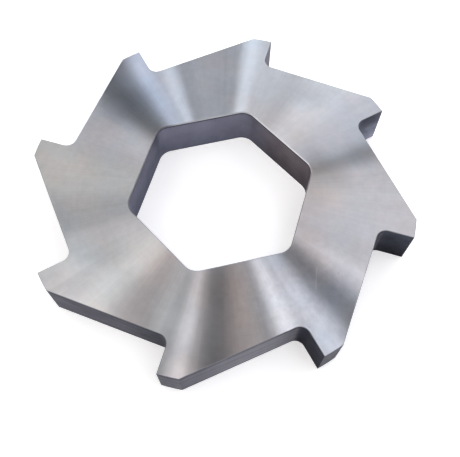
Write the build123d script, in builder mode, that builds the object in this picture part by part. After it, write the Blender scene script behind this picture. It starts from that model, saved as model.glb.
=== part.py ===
"""Shredder blade: a toothed cutter disc that slides on a hexagonal shaft.

The blade is cut from one flat steel plate. Each tooth has a front face that
lies on a radius, a short land on the tip circle behind the cutting tip, and a
long straight back that falls to the root of the next tooth. The underside
lies on the XY plane and the bore runs along Z. One tooth tip points along +X,
where the bore has a flat, and another along +Y, where the bore has a corner.
All lengths are in millimetres and all angles in degrees.
"""

import os
from math import asin, cos, degrees, radians, sin

from build123d import *

# Plate
tip_diameter = 400.0
plate_thickness = 50.0
edge_break = 0.5

# Teeth
tooth_count = 8
tooth_depth = 35.0
land_length = 21.0
gullet_radius = 10.0

# Bore for the hexagonal shaft
bore_across_flats = 170.0
bore_corner_radius = 16.0
bore_chamfer = 1.0

# Values that follow from the sizes above
tip_radius = tip_diameter / 2
root_radius = tip_radius - tooth_depth
tooth_pitch = 360 / tooth_count
land_angle = 2 * degrees(asin(land_length / tip_diameter))
shaft_sides = 6


def polar_point(radius, angle):
    """Return the point at this radius and angle about the bore."""
    return (radius * cos(radians(angle)), radius * sin(radians(angle)))


with BuildPart() as blade:
    # The outline runs counter-clockwise: up a front face to the tip, along the
    # land, and down the back to the root in front of the next tooth
    with BuildSketch() as tooth_outline:
        with BuildLine():
            for tooth in range(tooth_count):
                tip_angle = tooth * tooth_pitch
                Line(polar_point(root_radius, tip_angle), polar_point(tip_radius, tip_angle))
                land = CenterArc((0, 0), tip_radius, tip_angle, land_angle)
                Line(land @ 1, polar_point(root_radius, tip_angle + tooth_pitch))
        make_face()
        tooth_roots = tooth_outline.vertices().group_by(SortBy.DISTANCE)[0]
        fillet(tooth_roots, radius=gullet_radius)
    extrude(amount=plate_thickness)
    chamfer(blade.edges().filter_by(Plane.XY), length=edge_break)

    # The bore has a flat square to X, and rounded corners
    with BuildSketch() as bore_outline:
        RegularPolygon(
            radius=bore_across_flats / 2,
            side_count=shaft_sides,
            major_radius=False,
            rotation=180 / shaft_sides,
        )
        fillet(bore_outline.vertices(), radius=bore_corner_radius)
    extrude(amount=plate_thickness, mode=Mode.SUBTRACT)
    bore_rims = blade.edges(Select.LAST).filter_by(Plane.XY)
    chamfer(bore_rims, length=bore_chamfer)

blade.part.label = "blade"
os.makedirs("parts", exist_ok=True)
export_step(blade.part, "parts/blade.step")
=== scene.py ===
"""Shredder blade: steel finishes, studio and camera.

The blade is one toothed steel disc, 400 mm over its tips and 50 mm thick, with
a hexagonal bore along Z. It lies on the floor with its underside at Z = 0. Its
two faces are ground in circles about the bore, and the tooth fronts, the tooth
backs and the bore walls keep a darker cut surface. All lengths are in metres
and all angles in degrees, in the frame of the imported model.
"""

import logging
from collections.abc import Iterable, Iterator, Mapping
from dataclasses import dataclass, field
from enum import Enum
from math import cos, pi, radians, sin

import bpy
import numpy as np
from mathutils import Matrix, Vector

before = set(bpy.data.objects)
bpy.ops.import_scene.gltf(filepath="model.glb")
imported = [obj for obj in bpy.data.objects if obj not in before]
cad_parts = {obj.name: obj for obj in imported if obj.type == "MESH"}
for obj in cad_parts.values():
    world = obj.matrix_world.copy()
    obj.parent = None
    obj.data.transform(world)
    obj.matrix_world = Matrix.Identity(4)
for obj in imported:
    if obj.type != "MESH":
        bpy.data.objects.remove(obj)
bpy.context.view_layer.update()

BLADE_NODE = "blade"
THICKNESS = 0.050

Colour = tuple[float, float, float]
Socket = bpy.types.NodeSocket
Setting = str | float | int | bool | Iterable
log = logging.getLogger("shredder_blade")


class Operation(Enum):
    """The Math node operations that the shader expressions use."""

    ADD = "ADD"
    SUBTRACT = "SUBTRACT"
    MULTIPLY = "MULTIPLY"
    DIVIDE = "DIVIDE"
    ROOT = "SQRT"
    SIZE = "ABSOLUTE"
    SMALLER = "MINIMUM"
    LARGER = "MAXIMUM"


class Blend(Enum):
    """How a Mix node puts its second colour on its first."""

    MIX = "MIX"
    MULTIPLY = "MULTIPLY"


@dataclass(frozen=True)
class Step:
    """A smooth step of a number: 0 below its start, 1 above its end."""

    start: float
    end: float


@dataclass(frozen=True)
class Number:
    """A number in a shader. Python's operators on it add Math nodes.

    Attributes:
        graph: the node graph that the number belongs to.
        socket: the output socket that gives it.
    """

    graph: "ShaderGraph"
    socket: Socket

    def __add__(self, other: "Number | float") -> "Number":
        """Return self + other."""
        return self.graph.math(Operation.ADD, self, other)

    def __radd__(self, other: float) -> "Number":
        """Return other + self."""
        return self.graph.math(Operation.ADD, other, self)

    def __sub__(self, other: "Number | float") -> "Number":
        """Return self - other."""
        return self.graph.math(Operation.SUBTRACT, self, other)

    def __rsub__(self, other: float) -> "Number":
        """Return other - self."""
        return self.graph.math(Operation.SUBTRACT, other, self)

    def __mul__(self, other: "Number | float") -> "Number":
        """Return self * other."""
        return self.graph.math(Operation.MULTIPLY, self, other)

    def __rmul__(self, other: float) -> "Number":
        """Return other * self."""
        return self.graph.math(Operation.MULTIPLY, other, self)

    def __truediv__(self, other: "Number | float") -> "Number":
        """Return self / other."""
        return self.graph.math(Operation.DIVIDE, self, other)

    def __rtruediv__(self, other: float) -> "Number":
        """Return other / self."""
        return self.graph.math(Operation.DIVIDE, other, self)

    def __neg__(self) -> "Number":
        """Return the number with its sign changed."""
        return self.graph.math(Operation.MULTIPLY, self, -1.0)

    def root(self) -> "Number":
        """Return the square root."""
        return self.graph.math(Operation.ROOT, self)

    def size(self) -> "Number":
        """Return the number without its sign."""
        return self.graph.math(Operation.SIZE, self)

    def at_least(self, other: "Number | float") -> "Number":
        """Return the larger of the two."""
        return self.graph.math(Operation.LARGER, self, other)

    def at_most(self, other: "Number | float") -> "Number":
        """Return the smaller of the two."""
        return self.graph.math(Operation.SMALLER, self, other)

    def rise(self, step: Step) -> "Number":
        """Return how far the number has climbed a smooth step.

        Args:
            step: where the step leaves 0 and where it reaches 1.

        Returns:
            The eased number between 0 and 1.
        """
        node = self.graph.add(
            "ShaderNodeMapRange",
            {"interpolation_type": "SMOOTHSTEP"},
            {"Value": self, "From Min": step.start, "From Max": step.end},
        )
        return Number(self.graph, node.outputs["Result"])


Amount = Number | float


class ShaderGraph:
    """A node tree that is filled by calls which return what they make.

    A Mix node's sockets for colours go by number, because its sockets for other
    kinds of value have the same names.
    """

    MIX_SHARE, MIX_FIRST, MIX_SECOND, MIX_RESULT = 0, 6, 7, 2
    NOISE_MIDDLE = 0.5

    def __init__(self, owner: bpy.types.Material | bpy.types.World) -> None:
        """Empty the owner's node tree.

        Args:
            owner: the material or world whose nodes this graph writes.
        """
        owner.use_nodes = True
        self.tree = owner.node_tree
        self.tree.nodes.clear()

    def add(
        self,
        kind: str,
        settings: Mapping[str, Setting] | None = None,
        sockets: Mapping[str | int, object] | None = None,
    ) -> bpy.types.Node:
        """Add one node, set it up and feed its sockets.

        Args:
            kind: the node's type, such as "ShaderNodeTexNoise".
            settings: its own properties.
            sockets: a value, a colour, a Number or an output socket for each input.

        Returns:
            The new node.
        """
        node = self.tree.nodes.new(kind)
        for name, setting in (settings or {}).items():
            setattr(node, name, setting)
        for key, value in (sockets or {}).items():
            source = value.socket if isinstance(value, Number) else value
            if isinstance(source, Socket):
                self.tree.links.new(source, node.inputs[key])
            else:
                node.inputs[key].default_value = self._filled(source)
        return node

    @staticmethod
    def _filled(value: object) -> object:
        """Return a colour with its alpha of 1, and any other value as it is."""
        return (*value, 1.0) if isinstance(value, tuple) else value

    def math(self, operation: Operation, *terms: Amount) -> Number:
        """Add a Math node for these terms and return its number."""
        node = self.add("ShaderNodeMath", {"operation": operation.value}, dict(enumerate(terms)))
        return Number(self, node.outputs[0])

    def parts(self, output: str) -> tuple[Number, Number, Number]:
        """Return x, y and z of one of the object's own coordinates.

        Args:
            output: "Object" for the place of the point, "Normal" for its normal.

        Returns:
            The three numbers.
        """
        vector = self.add("ShaderNodeTexCoord").outputs[output]
        split = self.add("ShaderNodeSeparateXYZ", sockets={0: vector})
        return tuple(Number(self, socket) for socket in split.outputs)

    def vector(self, x: Amount, y: Amount, z: Amount) -> Socket:
        """Return the vector of three numbers."""
        return self.add("ShaderNodeCombineXYZ", sockets={0: x, 1: y, 2: z}).outputs[0]

    def noise(self, vector: Socket, detail: float, rough: float) -> Number:
        """Return smooth noise around 0, with features about one unit wide.

        Args:
            vector: the place that the noise is read at.
            detail: how many finer layers lie on the first.
            rough: how strong each finer layer is.

        Returns:
            The noise, mostly between -0.25 and 0.25.
        """
        node = self.add(
            "ShaderNodeTexNoise",
            {"noise_dimensions": "3D"},
            {"Vector": vector, "Scale": 1.0, "Detail": detail, "Roughness": rough},
        )
        return Number(self, node.outputs["Fac"]) - self.NOISE_MIDDLE

    def mix(
        self,
        share: Amount,
        first: Colour | Socket,
        second: Colour | Socket,
        blend: Blend = Blend.MIX,
    ) -> Socket:
        """Return a colour that goes from the first to the second as the share rises.

        Args:
            share: 0 for the first colour, 1 for the second.
            first: a colour or a colour socket.
            second: a colour or a colour socket.
            blend: how the second colour is put on the first.

        Returns:
            The mixed colour.
        """
        settings = {"data_type": "RGBA", "blend_type": blend.value}
        sockets = {self.MIX_SHARE: share, self.MIX_FIRST: first, self.MIX_SECOND: second}
        return self.add("ShaderNodeMix", settings, sockets).outputs[self.MIX_RESULT]

    def tinted(self, share: Amount, colour: Colour | Socket, tint: Colour | Socket) -> Socket:
        """Return a colour multiplied by a tint, as far as the share says.

        Args:
            share: 0 to leave the colour as it is, 1 for the full tint.
            colour: a colour or a colour socket.
            tint: a colour or a colour socket.

        Returns:
            The tinted colour.
        """
        return self.mix(share, colour, tint, Blend.MULTIPLY)

    def bump(self, height: Number, depth: float) -> Socket:
        """Return the normal of a surface raised by a height.

        Args:
            height: the height, in parts of the depth.
            depth: the height of 1, in metres.

        Returns:
            The bent normal.
        """
        sockets = {"Height": height, "Distance": depth}
        return self.add("ShaderNodeBump", sockets=sockets).outputs["Normal"]


@dataclass(frozen=True)
class Marks:
    """One set of tool marks, drawn out along the circles about the bore.

    Attributes:
        turn: the marks' length along the circles, as a part of the radius.
        run: their length outwards from the bore, in metres.
        drop: their length along Z, in metres.
        share: how far they change the surface.
        offset: a shift that gives another set.
        detail: how many finer layers of noise lie on the first.
        rough: how strong each finer layer is.
    """

    turn: float
    run: float
    drop: float
    share: float
    offset: float = 0.0
    detail: float = 2.0
    rough: float = 0.5


@dataclass(frozen=True)
class Clouds:
    """Soft blotches.

    Attributes:
        size: how far apart the blotches lie, in metres.
        share: how far they change the surface.
        offset: a shift along X, in metres, that gives other blotches.
        detail: how many finer layers of noise lie on the first.
        rough: how strong each finer layer is.
    """

    size: float
    share: float
    offset: float = 0.0
    detail: float = 3.0
    rough: float = 0.55


@dataclass(frozen=True)
class Patch:
    """A round patch with a soft rim, placed on the blade as seen from above.

    Attributes:
        x: its middle along X.
        y: its middle along Y.
        size: the distance from its middle at which it has faded out.
        share: how strong it is at its middle.
    """

    x: float
    y: float
    size: float
    share: float


@dataclass(frozen=True)
class Scratch:
    """A straight scratch on the face, placed as seen from above.

    Attributes:
        start: the X and Y that it starts at.
        end: the X and Y that it ends at.
        width: the distance from its line at which it has faded out.
        share: how strong it is on its line.
    """

    start: tuple[float, float]
    end: tuple[float, float]
    width: float
    share: float


class BladePlace:
    """Where a point of the blade lies and which way its surface looks there.

    The values are read from the object's own coordinates and normal: ``along``
    and ``across`` are the cosine and sine of the point's turn about the bore,
    ``radius`` its distance from the bore's axis, ``ahead`` the part of the
    normal that points counter-clockwise about the bore, and ``level`` the part
    that points up or down.
    """

    def __init__(self, graph: ShaderGraph) -> None:
        """Work out the values.

        Args:
            graph: the material's node graph.
        """
        self.graph = graph
        self.x, self.y, self.height = graph.parts("Object")
        normal_x, normal_y, normal_z = graph.parts("Normal")
        self.radius = (self.x * self.x + self.y * self.y).root()
        self.along = self.x / self.radius
        self.across = self.y / self.radius
        self.ahead = normal_y * self.along - normal_x * self.across
        self.level = normal_z.size()

    def marks(self, marks: Marks) -> Number:
        """Return tool marks around 0.

        The noise is read at (cos u / turn + z / drop, sin u / turn, r / run)
        for a point at radius r, turn u and height z.

        Args:
            marks: the marks' lengths and their share.

        Returns:
            The noise times the share.
        """
        spot = self.graph.vector(
            self.along / marks.turn + self.height / marks.drop + marks.offset,
            self.across / marks.turn,
            self.radius / marks.run,
        )
        return self.graph.noise(spot, marks.detail, marks.rough) * marks.share

    def clouds(self, clouds: Clouds) -> Number:
        """Return soft blotches around 0.

        Args:
            clouds: the blotches' size and share.

        Returns:
            The noise times the share.
        """
        spot = self.graph.vector(
            (self.x + clouds.offset) / clouds.size,
            self.y / clouds.size,
            self.height / clouds.size,
        )
        return self.graph.noise(spot, clouds.detail, clouds.rough) * clouds.share

    def near(self, patches: Iterable[Patch]) -> Amount:
        """Return how much of these patches lies at the point.

        Each patch gives its share at its middle and fades out to its rim. The
        patches add up.

        Args:
            patches: the patches, seen from above.

        Returns:
            The sum of the shares.
        """
        total = 0.0
        for patch in patches:
            off_x, off_y = self.x - patch.x, self.y - patch.y
            distance = (off_x * off_x + off_y * off_y).root()
            total = (1.0 - distance.rise(Step(0.0, patch.size))) * patch.share + total
        return total

    def scratched(self, scratch: Scratch) -> Number:
        """Return how much of a scratch lies at the point.

        The point is measured against start + t * (end - start), with t held
        between 0 and 1, and the scratch fades out over its width.

        Args:
            scratch: the scratch, seen from above.

        Returns:
            Its share on the line, 0 away from it.
        """
        (start_x, start_y), (end_x, end_y) = scratch.start, scratch.end
        run_x, run_y = end_x - start_x, end_y - start_y
        off_x, off_y = self.x - start_x, self.y - start_y
        part = (off_x * run_x + off_y * run_y) / (run_x**2 + run_y**2)
        part = part.at_least(0.0).at_most(1.0)
        gap_x, gap_y = off_x - part * run_x, off_y - part * run_y
        distance = (gap_x * gap_x + gap_y * gap_y).root()
        return (1.0 - distance.rise(Step(0.0, scratch.width))) * scratch.share


@dataclass(frozen=True)
class GroundFace:
    """The flat faces, ground in circles about the bore.

    Fine rings and two sets of chatter marks that run out from the bore lie over
    a faintly clouded and flecked surface. The steel takes a warm and a cool cast
    in turns, with painted tints of reflected light in a few places, and is
    painted darker towards the tips, a painted shade. Soft smudge marks, warm
    stains, a faint blue tarnish, a stretch of stronger flecks and one light
    scratch mark the upper face only; most smudge marks are painted highlights
    and painted shade, and a few are a real smudge and specks.

    A smudge mark darkens where its share is above 0, a painted shade, and
    brightens below it, a painted highlight. A painted tint is warmer above 0
    and cooler below it. ``lay_turn`` turns the shader's tangent, by a quarter
    for grinding marks that run in circles, and ``plain_tone`` is the share of
    the bright steel where nothing marks it.
    """

    # Colours
    dull: Colour = (0.60, 0.60, 0.61)
    bright: Colour = (0.91, 0.91, 0.92)
    warm: Colour = (1.0, 0.965, 0.951)
    cool: Colour = (0.956, 0.982, 1.0)
    stained: Colour = (0.90, 0.84, 0.79)
    tarnished: Colour = (0.93, 0.955, 1.02)
    # Painted shade that darkens the face towards the tips
    painted_tip_shade: Colour = (0.72, 0.72, 0.72)

    # Polish, and painted shade towards the tips
    tip_shade_start: float = 0.085
    tip_shade_reach: float = 0.115
    metallic: float = 1.0
    anisotropy: float = 1.0
    lay_turn: float = 0.25
    plain_tone: float = 0.5
    roughness: float = 0.277
    smudge_roughness: float = 0.05
    scratch_roughness: float = 0.12

    # Marks and clouds
    rings: Marks = Marks(turn=0.9, run=0.0014, drop=1.0, share=0.14)
    chatter: Marks = Marks(turn=0.012, run=0.08, drop=1.0, share=0.30)
    waves: Marks = Marks(turn=0.045, run=0.25, drop=1.0, share=0.25, offset=7.0)
    wave_depth: float = 5e-5
    clouds: Clouds = Clouds(size=0.045, share=0.75, offset=3.94)
    flecks: Clouds = Clouds(size=0.007, share=0.45, offset=1.3)
    casts: Clouds = Clouds(size=0.060, share=1.0, offset=4.36)
    cast_step: Step = Step(-0.15, 0.15)
    stain_clouding: float = 3.3

    # Single marks, each in its place
    # Painted tints of reflected light: a share above 0 warms the face there, a share below 0 cools
    # it
    painted_light_tints: tuple[Patch, ...] = (
        Patch(-0.126, 0.074, 0.048, -0.50),
        Patch(-0.142, 0.030, 0.032, 0.25),
        Patch(-0.144, -0.041, 0.030, -0.20),
        Patch(0.130, -0.020, 0.045, -0.20),
        Patch(0.034, -0.126, 0.045, 0.25),
        Patch(0.100, 0.085, 0.050, 0.20),
        Patch(0.118, 0.138, 0.035, 0.25),
        Patch(-0.012, 0.106, 0.026, 0.30),
    )
    # Mostly painted highlights (share below 0) and painted shade (share above 0); the first two
    # make one real smudge and the next two are real specks
    smudges_and_painted_light: tuple[Patch, ...] = (
        Patch(-0.086, -0.106, 0.022, 0.22),
        Patch(-0.076, -0.095, 0.034, 0.14),
        Patch(0.1216, -0.1187, 0.0020, 0.40),
        Patch(0.1362, -0.0587, 0.0020, 0.40),
        Patch(-0.140, 0.064, 0.035, 0.60),
        Patch(-0.097, 0.034, 0.035, -0.32),
        Patch(-0.142, 0.104, 0.035, -0.60),
        Patch(-0.043, -0.133, 0.035, 0.35),
        Patch(0.000, -0.152, 0.020, -0.30),
        Patch(0.026, -0.104, 0.030, 0.30),
        Patch(0.085, -0.062, 0.040, 0.30),
        Patch(0.146, -0.096, 0.028, -0.55),
        Patch(0.083, 0.065, 0.018, 0.30),
        Patch(0.110, 0.067, 0.020, -0.30),
        Patch(0.062, 0.137, 0.025, 0.25),
        Patch(-0.112, -0.127, 0.022, -0.35),
        Patch(0.114, 0.020, 0.024, -0.30),
        Patch(0.128, 0.058, 0.016, -0.25),
        Patch(0.020, -0.176, 0.018, 0.30),
        Patch(0.112, -0.090, 0.012, 0.25),
        Patch(-0.142, 0.063, 0.018, 0.35),
    )
    stains: tuple[Patch, ...] = (
        Patch(0.098, 0.036, 0.050, 0.8),
        Patch(0.062, 0.080, 0.024, 0.5),
        Patch(-0.082, -0.102, 0.030, 0.3),
        Patch(0.091, -0.053, 0.045, 0.8),
        Patch(0.026, -0.104, 0.035, 0.8),
        Patch(0.120, -0.112, 0.032, 0.5),
    )
    tarnish: tuple[Patch, ...] = (
        Patch(-0.128, 0.068, 0.045, 1.0),
        Patch(-0.150, 0.098, 0.030, 0.7),
        Patch(0.122, 0.068, 0.036, 0.5),
        Patch(0.142, -0.072, 0.034, 0.6),
        Patch(-0.098, -0.146, 0.030, 0.4),
    )
    flecked: tuple[Patch, ...] = (Patch(0.115, -0.095, 0.085, 1.8),)
    scratch: Scratch = Scratch((0.1147, -0.0592), (0.1185, -0.0799), width=0.0011, share=0.5)
    upper_side: Step = Step(0.020, 0.030)

    def shader(self, graph: ShaderGraph, place: BladePlace) -> Socket:
        """Build the shader of the ground faces.

        Args:
            graph: the material's node graph.
            place: where each point lies.

        Returns:
            The shader's output.
        """
        upper = place.height.rise(self.upper_side)
        waves = place.marks(self.waves)
        clouds = place.clouds(self.clouds)
        # Smudge marks: mostly painted highlights and painted shade, a few real marks
        smudges_and_painted_light = place.near(self.smudges_and_painted_light) * upper
        scratch = place.scratched(self.scratch) * upper
        marks = place.marks(self.rings) + place.marks(self.chatter) + waves
        flecks = place.clouds(self.flecks) * (1.0 + place.near(self.flecked) * upper)
        tone = self.plain_tone + marks + clouds + flecks - smudges_and_painted_light + scratch
        colour = graph.mix(tone, self.dull, self.bright)
        # Painted shade: the face turns darker towards the tips
        tip_shade_share = (place.radius - self.tip_shade_start) / self.tip_shade_reach
        colour = graph.tinted(tip_shade_share, colour, self.painted_tip_shade)
        stain = place.near(self.stains) * (1.0 + clouds * self.stain_clouding) * upper
        colour = graph.tinted(stain, colour, self.stained)
        colour = graph.tinted(place.near(self.tarnish) * upper, colour, self.tarnished)
        # Warm and cool casts, with painted tints of reflected light from the patches
        casts = place.clouds(self.casts) + place.near(self.painted_light_tints)
        cast = graph.mix(casts.rise(self.cast_step), self.cool, self.warm)
        roughness = self.roughness + smudges_and_painted_light.at_least(0.0) * self.smudge_roughness
        return graph.add(
            "ShaderNodeBsdfPrincipled",
            sockets={
                "Base Color": graph.tinted(1.0, colour, cast),
                "Metallic": self.metallic,
                "Roughness": roughness + scratch * self.scratch_roughness,
                "Anisotropic": self.anisotropy,
                "Anisotropic Rotation": self.lay_turn,
                "Normal": graph.bump(waves, self.wave_depth),
            },
        ).outputs["BSDF"]


@dataclass(frozen=True)
class CutWall:
    """The colours of a cut wall at its upper and at its lower edge."""

    upper: Colour
    lower: Colour

    def colour(self, graph: ShaderGraph, depth: Number) -> Socket:
        """Return the wall's colour from the share of the thickness above the point."""
        return graph.mix(depth, self.upper, self.lower)


@dataclass(frozen=True)
class CutSides:
    """The tooth fronts and backs and the bore walls, left as they were cut.

    Dark scale covers the tooth fronts and the gullets; it is partly real scale
    and partly painted shade. Its thinning towards +Y is painted light, its few
    patches are painted shade, and painted shadows lie over some of it. One
    stretch is painted with a bright reflection, and one front is painted with
    shade at its upper edge and with light towards its lower edge. The other walls
    are painted darker towards their lower edges, a painted shade. The bore walls
    turn from a blue grey at -X to a brown grey at +X. Fine lines and broad bands
    follow the outer sides, and upright marks cross every wall. Under each upper
    edge and over each lower edge runs a thin line of painted shade. The bevels
    themselves are painted brighter as highlights, the bore's most of all, apart
    from a stretch at -X painted dark and a duller one at +X.

    A Step that ends in ``_side`` is taken along X or Y, one that ends in
    ``_turn`` is taken of how far the surface looks clockwise about the bore.
    ``plain_tone`` lies halfway from the darkened to the lightened colour.
    """

    # Colours
    # The lower colour of each wall is darker: painted shade towards its lower edge, apart from the
    # one painted front
    tooth_back: CutWall = CutWall((0.186, 0.183, 0.207), (0.158, 0.158, 0.182))
    # Partly real scale and partly painted shade on the tooth fronts and gullets
    tooth_scale_and_shade: CutWall = CutWall((0.068, 0.074, 0.092), (0.021, 0.021, 0.024))
    # Painted shade at the upper edge and painted light towards the lower edge of one front
    painted_front_shading: CutWall = CutWall((0.036, 0.039, 0.048), (0.275, 0.290, 0.352))
    blue_bore: CutWall = CutWall((0.180, 0.183, 0.238), (0.118, 0.122, 0.163))
    brown_bore: CutWall = CutWall((0.152, 0.132, 0.143), (0.068, 0.058, 0.062))
    # Painted highlights on the bevels: brightest on the bore's rim, duller at +X, and none on the
    # outer bevels or on a stretch at -X
    bore_rim_highlight: Colour = (0.58, 0.58, 0.60)
    dim_rim_highlight: Colour = (0.44, 0.40, 0.40)
    rim_without_highlight: Colour = (0.24, 0.24, 0.26)
    # Painted reflection colour on one stretch of the tooth backs
    painted_reflection_colour: Colour = (0.30, 0.30, 0.33)
    # Painted shade colour of the thin edge lines and the painted shadows
    painted_shade: Colour = (0.35, 0.34, 0.38)
    darkened: Colour = (0.6, 0.6, 0.6)
    lightened: Colour = (1.4, 1.4, 1.4)
    grazing_tint: Colour = (0.50, 0.50, 0.53)

    # Polish and relief
    metallic: float = 1.0
    plain_tone: float = 0.5
    roughness: float = 0.42
    clouded_roughness: float = 0.25
    rim_polish: float = 0.1
    relief_depth: float = 2e-5
    relief_clouding: float = 5.0

    # Marks, scale, and painted light and shade
    lines: Marks = Marks(turn=0.25, run=1.0, drop=0.0016, share=0.4)
    bands: Marks = Marks(turn=0.8, run=1.0, drop=0.009, share=1.7, offset=11.0)
    uprights: Marks = Marks(turn=0.006, run=1.0, drop=0.30, share=0.3, offset=3.0)
    clouds: Clouds = Clouds(size=0.022, share=1.0)
    blotches: Clouds = Clouds(size=0.014, share=1.6, offset=0.3)
    fade_clouding: float = 0.8
    # How far the blotches, the tooth fronts and the gullets carry scale and painted shade
    scale_and_shade_clouding: float = 0.3
    front_scale_and_shade: float = 0.65
    gullet_scale_and_shade: float = 0.45
    # How far the painted light towards +Y thins the scale and painted shade
    painted_light_share: float = 0.75
    front_smoothness: float = 0.7
    # Patches of painted shade on the tooth walls
    patches: tuple[Patch, ...] = (
        Patch(-0.010, -0.166, 0.060, 0.80),
        Patch(0.134, -0.126, 0.042, 0.85),
    )
    # Patches of painted shadow on the cut walls
    painted_shadows: tuple[Patch, ...] = (
        Patch(0.134, -0.126, 0.048, 0.85),
        Patch(0.170, 0.000, 0.060, 0.15),
        Patch(-0.090, -0.170, 0.120, 0.45),
    )
    # Where one stretch of the tooth backs is painted with a bright reflection
    painted_reflection: tuple[Patch, ...] = (Patch(0.088, -0.142, 0.100, 0.90),)
    # Where one front is painted with shade above and light below
    painted_front_light: tuple[Patch, ...] = (Patch(0.130, 0.130, 0.045, 1.00),)

    # Where each zone starts and ends
    thickness: float = THICKNESS
    bore_reach: Step = Step(0.110, 0.130)
    brown_side: Step = Step(-0.02, 0.05)
    # Painted light: the scale and painted shade thin out towards +Y
    painted_light_side: Step = Step(0.0, 0.15)
    # Where the bore's bevel leaves its painted dark stretch for its painted highlight, and where
    # the highlight turns duller
    rim_highlight_side: Step = Step(-0.078, -0.066)
    dim_highlight_side: Step = Step(0.077, 0.083)
    front_turn: Step = Step(0.85, 0.99)
    gullet_turn: Step = Step(0.15, 0.60)
    bevel_lean: Step = Step(0.45, 0.60)
    upper_line: Step = Step(0.0020, 0.0040)
    lower_line: Step = Step(0.0008, 0.0030)
    line_waver: float = 0.010
    outer_line_widening: float = 2.0

    def shader(self, graph: ShaderGraph, place: BladePlace) -> Socket:
        """Build the shader of the cut sides.

        Args:
            graph: the material's node graph.
            place: where each point lies.

        Returns:
            The shader's output.
        """
        inside = 1.0 - place.radius.rise(self.bore_reach)
        front = (-place.ahead).rise(self.front_turn)
        clouds = place.clouds(self.clouds)
        lines = place.marks(self.lines)
        uprights = place.marks(self.uprights)
        bevel = place.level.rise(self.bevel_lean)

        colour = graph.mix(
            inside,
            self.tooth_colour(graph, place, front, clouds),
            self.bore_colour(graph, place, clouds),
        )
        marks = (lines + place.marks(self.bands)) * (1.0 - front * self.front_smoothness)
        marks = (marks + place.clouds(self.blotches) * front) * (1.0 - inside) + uprights
        colour = graph.mix(
            self.plain_tone + marks,
            graph.tinted(1.0, colour, self.darkened),
            graph.tinted(1.0, colour, self.lightened),
        )
        # Painted shade: thin lines under the upper edges and over the lower edges
        painted_shade = self.painted_shade_lines(place, inside, uprights) * (1.0 - front)
        # Painted shadow patches add to the painted shade lines
        painted_shade = painted_shade.at_least(place.near(self.painted_shadows))
        colour = graph.tinted(painted_shade, colour, self.painted_shade)
        # Painted highlight on the bore's bevel, duller at +X, with a stretch at -X painted dark
        bright = inside * place.x.rise(self.rim_highlight_side)
        bore_rim_highlight = graph.mix(place.x.rise(self.dim_highlight_side), self.bore_rim_highlight, self.dim_rim_highlight)
        colour = graph.mix(bevel, colour, graph.mix(bright, self.rim_without_highlight, bore_rim_highlight))
        roughness = self.roughness + clouds * self.clouded_roughness - bevel * self.rim_polish
        relief = lines + clouds * self.relief_clouding
        return graph.add(
            "ShaderNodeBsdfPrincipled",
            sockets={
                "Base Color": colour,
                "Metallic": self.metallic,
                "Specular Tint": self.grazing_tint,
                "Roughness": roughness,
                "Normal": graph.bump(relief, self.relief_depth),
            },
        ).outputs["BSDF"]

    def depth(self, place: BladePlace, clouds: Number) -> Number:
        """Return the share of the thickness above the point, unevened by the blotches."""
        return 1.0 - place.height / self.thickness + clouds * self.fade_clouding

    def tooth_colour(
        self, graph: ShaderGraph, place: BladePlace, front: Number, clouds: Number
    ) -> Socket:
        """Return the colour of the tooth fronts, gullets and backs.

        Args:
            graph: the material's node graph.
            place: where each point lies.
            front: 1 on the tooth fronts, 0 on the other sides.
            clouds: the blotches.

        Returns:
            The colour, with the scale and painted shade, the painted reflection and the painted
            light and shade of one front on the cut.
        """
        gullet = (-place.ahead).rise(self.gullet_turn)
        # Painted light towards +Y thins the scale and painted shade
        painted_light = place.y.rise(self.painted_light_side) * self.painted_light_share
        # Scale and painted shade on the fronts, the gullets and the painted shade patches
        scale_and_shade = front * self.front_scale_and_shade + gullet * self.gullet_scale_and_shade + place.near(self.patches)
        scale_and_shade = (scale_and_shade * (1.0 - painted_light) + clouds * self.scale_and_shade_clouding).at_most(1.0)
        depth = self.depth(place, clouds)
        # Darker towards the lower edge: painted shade
        colour = graph.mix(
            scale_and_shade, self.tooth_back.colour(graph, depth), self.tooth_scale_and_shade.colour(graph, depth)
        )
        # Painted reflection on one stretch of the tooth backs
        colour = graph.mix(place.near(self.painted_reflection) * (1.0 - gullet), colour, self.painted_reflection_colour)
        # Painted shade above and painted light below on one front
        return graph.mix(place.near(self.painted_front_light), colour, self.painted_front_shading.colour(graph, depth))

    def bore_colour(self, graph: ShaderGraph, place: BladePlace, clouds: Number) -> Socket:
        """Return the colour of the bore walls.

        Args:
            graph: the material's node graph.
            place: where each point lies.
            clouds: the blotches.

        Returns:
            The colour, from blue grey to brown grey along X.
        """
        depth = self.depth(place, clouds)
        brown = place.x.rise(self.brown_side)
        # Darker towards the lower edge: painted shade
        return graph.mix(
            brown, self.blue_bore.colour(graph, depth), self.brown_bore.colour(graph, depth)
        )

    def painted_shade_lines(self, place: BladePlace, inside: Number, uprights: Number) -> Number:
        """Return how much painted shade lies along the wall's upper and lower edges.

        Args:
            place: where each point lies.
            inside: 1 in the bore, 0 on the outer sides, where the lines are wider.
            uprights: the upright marks, which make the upper line waver.

        Returns:
            1 in the lines, 0 between them.
        """
        narrowing = (1.0 + inside * (self.outer_line_widening - 1.0)) / self.outer_line_widening
        below_edge = self.thickness - place.height + uprights * self.line_waver
        upper = 1.0 - (below_edge * narrowing).rise(self.upper_line)
        lower = 1.0 - (place.height * narrowing).rise(self.lower_line)
        return upper.at_least(lower)


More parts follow.
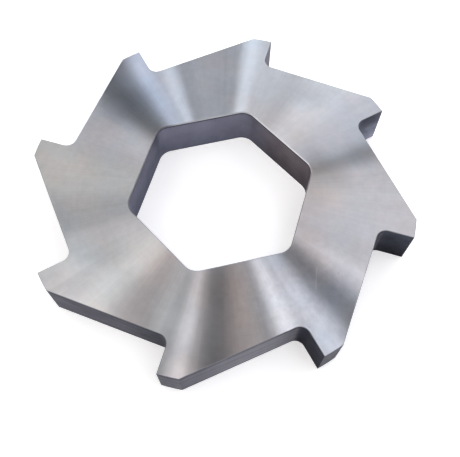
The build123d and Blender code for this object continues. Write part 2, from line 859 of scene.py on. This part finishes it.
@dataclass(frozen=True)
class BladeSteel:
    """The blade's steel: ground on the faces, darker on every cut side."""

    name: str = "ground_steel"
    face: GroundFace = field(default_factory=GroundFace)
    sides: CutSides = field(default_factory=CutSides)
    face_lean: Step = Step(0.80, 0.95)

    def material(self) -> bpy.types.Material:
        """Build the material from the two finishes.

        Returns:
            The material, with the finish chosen by how level the surface is.
        """
        material = bpy.data.materials.new(self.name)
        graph = ShaderGraph(material)
        place = BladePlace(graph)
        shader = graph.add(
            "ShaderNodeMixShader",
            sockets={
                0: place.level.rise(self.face_lean),
                1: self.sides.shader(graph, place),
                2: self.face.shader(graph, place),
            },
        )
        graph.add("ShaderNodeOutputMaterial", sockets={"Surface": shader.outputs[0]})
        return material


@dataclass(frozen=True)
class Blade:
    """The toothed disc."""

    node: str = BLADE_NODE
    steel: BladeSteel = field(default_factory=BladeSteel)

    def dress(self) -> bpy.types.Object:
        """Give the solid its steel.

        Returns:
            The dressed object.
        """
        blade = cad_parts[self.node]
        material = self.steel.material()
        for slot in blade.material_slots:
            slot.material = material
        return blade


@dataclass(frozen=True)
class Backdrop:
    """A pale round floor that curves up into a wall all the way round.

    The floor glows a little, so that it stays near white beside the blade, and
    lies a hair beneath it, so that no two surfaces share one plane. ``rings``
    points lie along the floor and as many along its curve, and ``spokes`` points
    lie round each of those.
    """

    gap: float = 0.0002
    floor_radius: float = 2.4
    cove_radius: float = 0.8
    wall_height: float = 1.6
    rings: int = 24
    spokes: int = 96
    colour: Colour = (0.90, 0.90, 0.90)
    roughness: float = 0.9
    gloss: float = 0.1
    glow: float = 0.45
    glow_colour: Colour = (1.0, 1.0, 1.0)

    def profile(self) -> np.ndarray:
        """Work out the outline that turns about Z.

        The outline runs level from the middle to the floor's radius, climbs a
        quarter of a circle, and then stands straight up: radius = floor +
        cove * sin(t) and height = cove * (1 - cos(t)) - gap for t from 0 to 90.

        Returns:
            One row of radius and height for each point, without the middle.
        """
        level = np.linspace(0.0, self.floor_radius, self.rings + 1)[1:]
        floor = np.stack([level, np.zeros(self.rings)], axis=1)
        turn = np.linspace(0.0, pi / 2, self.rings + 1)[1:]
        cove = self.cove_radius * np.stack([np.sin(turn), 1.0 - np.cos(turn)], axis=1)
        cove[:, 0] += self.floor_radius
        top = np.array([[self.floor_radius + self.cove_radius, self.wall_height]])
        return np.concatenate([floor, cove, top]) - (0.0, self.gap)

    def mesh(self) -> bpy.types.Mesh:
        """Turn the outline about Z.

        A point at turn u of the outline's point (r, z) is (r cos u, r sin u, z).
        Triangles close the middle, and quads join each ring to the next.

        Returns:
            The mesh.
        """
        radius, height = self.profile().T
        turn = np.linspace(0.0, 2 * pi, self.spokes, endpoint=False)
        x = np.outer(radius, np.cos(turn))
        y = np.outer(radius, np.sin(turn))
        z = np.repeat(height[:, None], self.spokes, axis=1)
        turned = np.stack([x, y, z], axis=-1).reshape(-1, 3)
        points = np.concatenate([[[0.0, 0.0, -self.gap]], turned])
        index = 1 + np.arange(radius.size * self.spokes).reshape(radius.size, self.spokes)
        following = np.roll(index, -1, axis=1)
        middle = np.stack([np.zeros(self.spokes, int), index[0], following[0]], axis=1)
        quads = np.stack([index[:-1], index[1:], following[1:], following[:-1]], axis=-1)
        mesh = bpy.data.meshes.new("backdrop")
        mesh.from_pydata(points.tolist(), [], middle.tolist() + quads.reshape(-1, 4).tolist())
        mesh.shade_smooth()
        return mesh

    def paint(self) -> bpy.types.Material:
        """Mix the matt pale paint.

        Returns:
            The paint's material.
        """
        material = bpy.data.materials.new("backdrop_paint")
        graph = ShaderGraph(material)
        paint = graph.add(
            "ShaderNodeBsdfPrincipled",
            sockets={
                "Base Color": self.colour,
                "Roughness": self.roughness,
                "Specular IOR Level": self.gloss,
                "Emission Color": self.glow_colour,
                "Emission Strength": self.glow,
            },
        )
        graph.add("ShaderNodeOutputMaterial", sockets={"Surface": paint.outputs["BSDF"]})
        return material

    def build(self) -> bpy.types.Object:
        """Make the floor and its wall.

        Returns:
            The backdrop object.
        """
        mesh = self.mesh()
        mesh.materials.append(self.paint())
        backdrop = bpy.data.objects.new("backdrop", mesh)
        bpy.context.collection.objects.link(backdrop)
        return backdrop


@dataclass(frozen=True)
class Camera:
    """The camera, which looks down at the blade from the front.

    Attributes:
        lens: its focal length, in millimetres.
        sensor_width: the width of its sensor, in millimetres.
        azimuth: the way that it stands from the target, from -Y towards +X.
        elevation: how far it stands over the horizon.
        roll: its turn about its own axis.
        distance: how far it stands from the target.
        target: the point that it looks at.
    """

    lens: float = 48.76
    sensor_width: float = 36.0
    azimuth: float = 15.68
    elevation: float = 64.78
    roll: float = 1.0
    distance: float = 0.6194
    target: tuple[float, float, float] = (0.02235, -0.04304, THICKNESS)

    def back(self) -> Vector:
        """Return the unit vector from the target to the camera."""
        turn, lift = radians(self.azimuth), radians(self.elevation)
        return Vector((sin(turn) * cos(lift), -cos(turn) * cos(lift), sin(lift)))

    def place(self) -> Vector:
        """Return the camera's location."""
        return Vector(self.target) + self.distance * self.back()

    def build(self) -> bpy.types.Object:
        """Make the camera and set it as the scene's own.

        Returns:
            The camera object.
        """
        data = bpy.data.cameras.new("camera")
        data.sensor_width = self.sensor_width
        data.lens = self.lens
        camera = bpy.data.objects.new("camera", data)
        facing = self.back().to_track_quat("Z", "Y").to_matrix().to_4x4()
        turn = Matrix.Rotation(radians(self.roll), 4, "Z")
        camera.matrix_world = Matrix.Translation(self.place()) @ facing @ turn
        bpy.context.collection.objects.link(camera)
        bpy.context.scene.camera = camera
        return camera


class Tint(Enum):
    """The colours of light that the studio uses."""

    WHITE = (1.00, 1.00, 1.00)
    NEUTRAL = (1.01, 0.99, 1.05)
    PALE_BLUE = (0.97, 1.00, 1.09)
    COOL = (0.93, 1.00, 1.15)
    ICE = (0.90, 1.02, 1.17)
    BLUE = (0.86, 1.01, 1.32)
    CREAM = (1.02, 1.00, 0.96)
    ROSE = (1.05, 0.99, 1.00)
    AMBER = (1.19, 0.96, 0.88)


@dataclass(frozen=True)
class Panel:
    """A flat lamp that the camera doesn't see.

    Attributes:
        name: the lamp's name.
        place: its middle.
        turn: its own axes in columns: along its width, along its height, backwards.
        width: its width, in metres.
        height: its height, in metres.
        radiance: how bright its surface is.
        tint: the colour of its light.
    """

    name: str
    place: Vector
    turn: Matrix
    width: float
    height: float
    radiance: float
    tint: Tint = Tint.WHITE

    def hang(self) -> bpy.types.Object:
        """Make the lamp.

        A panel that is equally bright from all sides gives pi times its
        radiance for each unit of its area.

        Returns:
            The lamp object.
        """
        data = bpy.data.lights.new(self.name, "AREA")
        data.shape = "RECTANGLE"
        data.size = self.width
        data.size_y = self.height
        data.energy = pi * self.radiance * self.width * self.height
        data.color = self.tint.value
        lamp = bpy.data.objects.new(self.name, data)
        lamp.matrix_world = Matrix.Translation(self.place) @ self.turn.to_4x4()
        lamp.visible_camera = False
        bpy.context.collection.objects.link(lamp)
        return lamp


@dataclass(frozen=True)
class Softbox:
    """A lamp placed by the streak that it lays on the ground face.

    A facet of the face that tilts towards ``azimuth`` mirrors the camera into
    the softbox, so the softbox shows as a streak that runs out from the bore at
    that azimuth.

    Attributes:
        azimuth: the middle of the streak, about Z.
        spread: how far the streak reaches to each side.
        radiance: how bright the softbox is.
        tint: the colour of its light.
    """

    azimuth: float
    spread: float
    radiance: float
    tint: Tint = Tint.NEUTRAL


@dataclass(frozen=True)
class LightRing:
    """Softboxes in a ring about the way that the face mirrors the camera.

    Each softbox reaches from the first to the last tilt of the facets that
    mirror it, and hangs as ``lengths`` panels one behind the other, in strips
    that are not wider than ``widest_strip``.
    """

    camera: Camera
    face_height: float = THICKNESS
    distance: float = 1.5
    first_tilt: float = 12.0
    last_tilt: float = 34.0
    lengths: int = 2
    widest_strip: float = 12.0
    softboxes: tuple[Softbox, ...] = (
        Softbox(4.0, 19.0, 1.75),
        Softbox(38.5, 9.5, 1.90, Tint.COOL),
        Softbox(58.5, 11.0, 2.62, Tint.PALE_BLUE),
        Softbox(79.5, 8.5, 2.85, Tint.PALE_BLUE),
        Softbox(93.0, 3.3, 5.40, Tint.ICE),
        Softbox(112.0, 12.5, 1.92, Tint.COOL),
        Softbox(133.0, 3.6, 4.10, Tint.COOL),
        Softbox(143.5, 3.5, 3.00, Tint.BLUE),
        Softbox(175.0, 10.5, 1.33, Tint.PALE_BLUE),
        Softbox(195.0, 9.0, 1.46, Tint.CREAM),
        Softbox(209.5, 5.5, 1.08, Tint.WHITE),
        Softbox(227.5, 10.5, 1.50, Tint.WHITE),
        Softbox(242.5, 5.0, 2.13, Tint.CREAM),
        Softbox(253.5, 6.5, 0.82, Tint.AMBER),
        Softbox(264.0, 2.0, 1.80, Tint.CREAM),
        Softbox(274.5, 1.8, 4.75, Tint.ROSE),
        Softbox(295.5, 4.7, 0.84, Tint.AMBER),
        Softbox(300.5, 1.5, 0.60, Tint.CREAM),
        Softbox(310.5, 2.4, 5.05, Tint.PALE_BLUE),
        Softbox(320.3, 3.6, 3.10, Tint.COOL),
        Softbox(340.5, 4.0, 2.65),
    )

    def middle(self) -> Vector:
        """Return the middle of the upper face."""
        return Vector((0.0, 0.0, self.face_height))

    def towards(self, azimuth: float, tilt: float) -> Vector:
        """Return the way that a tilted facet in the middle of the face mirrors the camera.

        The way is 2 (v . n) n - v for a view v and a facet's normal n.

        Args:
            azimuth: the way that the facet leans, about Z.
            tilt: how far it leans from level.

        Returns:
            The unit vector from the face.
        """
        turn, lean = radians(azimuth), radians(tilt)
        facet = Vector((sin(lean) * cos(turn), sin(lean) * sin(turn), cos(lean)))
        view = (self.camera.place() - self.middle()).normalized()
        return 2 * view.dot(facet) * facet - view

    def panel(
        self, box: Softbox, azimuth: float, width: float, tilt: float, length: float
    ) -> Panel:
        """Work out one panel of a softbox. It faces the middle of the blade.

        Args:
            box: the softbox that the panel is part of.
            azimuth: the middle of the panel's streak.
            width: the width of its streak.
            tilt: the facet's lean at the panel's middle.
            length: how much lean the panel covers.

        Returns:
            The panel.
        """
        back = self.towards(azimuth, tilt)
        along = self.towards(azimuth, tilt + length / 2) - self.towards(azimuth, tilt - length / 2)
        across = self.towards(azimuth + width / 2, tilt) - self.towards(azimuth - width / 2, tilt)
        long_side = (along - along.dot(back) * back).normalized()
        short_side = long_side.cross(back)
        return Panel(
            name=f"softbox_{azimuth:05.1f}_{tilt:04.1f}",
            place=self.middle() + self.distance * back,
            turn=Matrix((short_side, long_side, back)).transposed(),
            width=self.distance * abs(across.dot(short_side)),
            height=self.distance * along.length,
            radiance=box.radiance,
            tint=box.tint,
        )

    def panels(self) -> Iterator[Panel]:
        """Cut every softbox into panels.

        Yields:
            The panels of each softbox in turn.
        """
        length = (self.last_tilt - self.first_tilt) / self.lengths
        for box in self.softboxes:
            strips = max(1, round(2 * box.spread / self.widest_strip))
            width = 2 * box.spread / strips
            for strip in range(strips):
                azimuth = box.azimuth - box.spread + (strip + 0.5) * width
                for part in range(self.lengths):
                    tilt = self.first_tilt + (part + 0.5) * length
                    yield self.panel(box, azimuth, width, tilt, length)

    def build(self) -> list[bpy.types.Object]:
        """Hang the panels and return their lamps."""
        return [panel.hang() for panel in self.panels()]


@dataclass(frozen=True)
class RimLight:
    """Low wide panels on the camera's side that the bevel of the bore mirrors."""

    azimuths: tuple[float, ...] = (-53.0, -97.0, -142.0)
    elevation: float = 30.0
    distance: float = 1.7
    width: float = 1.2
    height: float = 0.5
    radiance: float = 1.0

    def panel(self, azimuth: float) -> Panel:
        """Work out the panel at one azimuth. It faces the middle of the blade.

        Args:
            azimuth: the way that the panel stands from the middle, about Z.

        Returns:
            The panel.
        """
        turn, lift = radians(azimuth), radians(self.elevation)
        back = Vector((cos(turn) * cos(lift), sin(turn) * cos(lift), sin(lift)))
        return Panel(
            name=f"rim_light_{azimuth % 360:03.0f}",
            place=self.distance * back,
            turn=back.to_track_quat("Z", "Y").to_matrix(),
            width=self.width,
            height=self.height,
            radiance=self.radiance,
        )

    def build(self) -> list[bpy.types.Object]:
        """Hang the panels and return their lamps."""
        return [self.panel(azimuth).hang() for azimuth in self.azimuths]


@dataclass(frozen=True)
class Surroundings:
    """The dim room round the studio."""

    colour: Colour = (0.02, 0.02, 0.02)

    def build(self) -> bpy.types.World:
        """Make the world and set it as the scene's own.

        Returns:
            The world.
        """
        world = bpy.data.worlds.new("studio")
        graph = ShaderGraph(world)
        light = graph.add("ShaderNodeBackground", sockets={"Color": self.colour})
        graph.add("ShaderNodeOutputWorld", sockets={"Surface": light.outputs[0]})
        bpy.context.scene.world = world
        return world


def main() -> None:
    """Dress the blade, then build the studio, the camera and the lights."""
    logging.basicConfig(level=logging.INFO, format="%(name)s: %(message)s")
    blade = Blade().dress()
    log.info("dressed %s in %s", blade.name, blade.material_slots[0].name)
    log.info("built %s", Backdrop().build().name)
    camera = Camera()
    log.info("built %s", camera.build().name)
    log.info("hung %d panels of the light ring", len(LightRing(camera).build()))
    log.info("hung %d rim lights", len(RimLight().build()))
    log.info("built the world %s", Surroundings().build().name)
    bpy.context.scene.view_settings.view_transform = "Standard"


if __name__ == "__main__":
    main()
